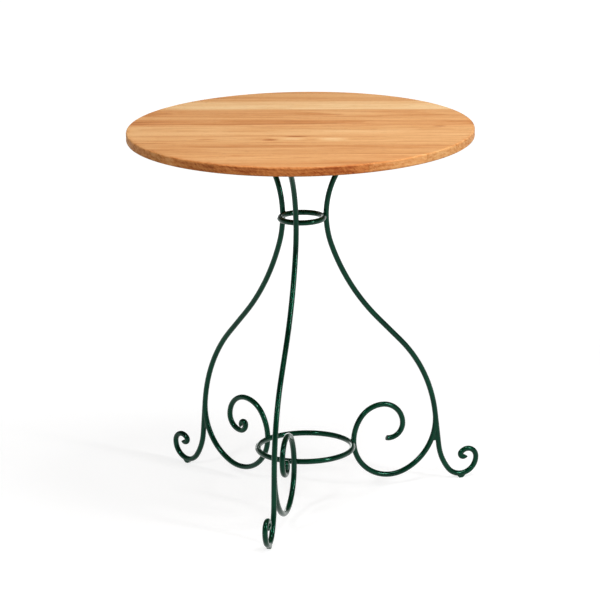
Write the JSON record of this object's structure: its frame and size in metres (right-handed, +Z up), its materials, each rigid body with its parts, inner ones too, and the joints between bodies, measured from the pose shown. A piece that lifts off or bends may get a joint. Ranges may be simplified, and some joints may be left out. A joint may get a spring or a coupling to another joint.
{
  "type": "garden table",
  "caption": "Round garden table with a plank-glued wooden top on a bent-rod iron base of curved legs, inner scrolls and tie rings, for sitting at outdoors.",
  "frame": {"origin": "where the table's axis meets the floor, in the middle of the three feet", "axes": "+Z up along the table's axis, +X along the boards of the top, to the right as seen from the front foot; -Y towards the viewer and the front foot"},
  "size_m": [0.6846, 0.7036, 0.753],
  "materials": {
    "oiled_wood": "oiled, satin",
    "dowel_wood": "bare",
    "green_paint": "gloss",
    "screw_steel": "zinc plated"
  },
  "bodies": {
    "root": {"top_board_1": "oiled_wood", "top_board_2": "oiled_wood", "top_board_3": "oiled_wood", "top_board_4": "oiled_wood", "top_board_5": "oiled_wood", "top_board_6": "oiled_wood", "top_board_7": "oiled_wood", "top_board_8": "oiled_wood", "top_board_9": "oiled_wood", "board_dowels": "dowel_wood", "leg_right": "green_paint", "scroll_right": "green_paint", "leg_left": "green_paint", "scroll_left": "green_paint", "leg_front": "green_paint", "scroll_front": "green_paint", "foot_stud_right": "green_paint", "foot_stud_left": "green_paint", "foot_stud_front": "green_paint", "fixing_plate_right": "green_paint", "fixing_plate_left": "green_paint", "fixing_plate_front": "green_paint", "neck_ring": "green_paint", "lower_ring": "green_paint", "neck_welds": "green_paint", "ring_welds": "green_paint", "fork_welds": "green_paint", "plate_welds": "green_paint", "top_screws": "screw_steel"}
  },
  "joints": []
}
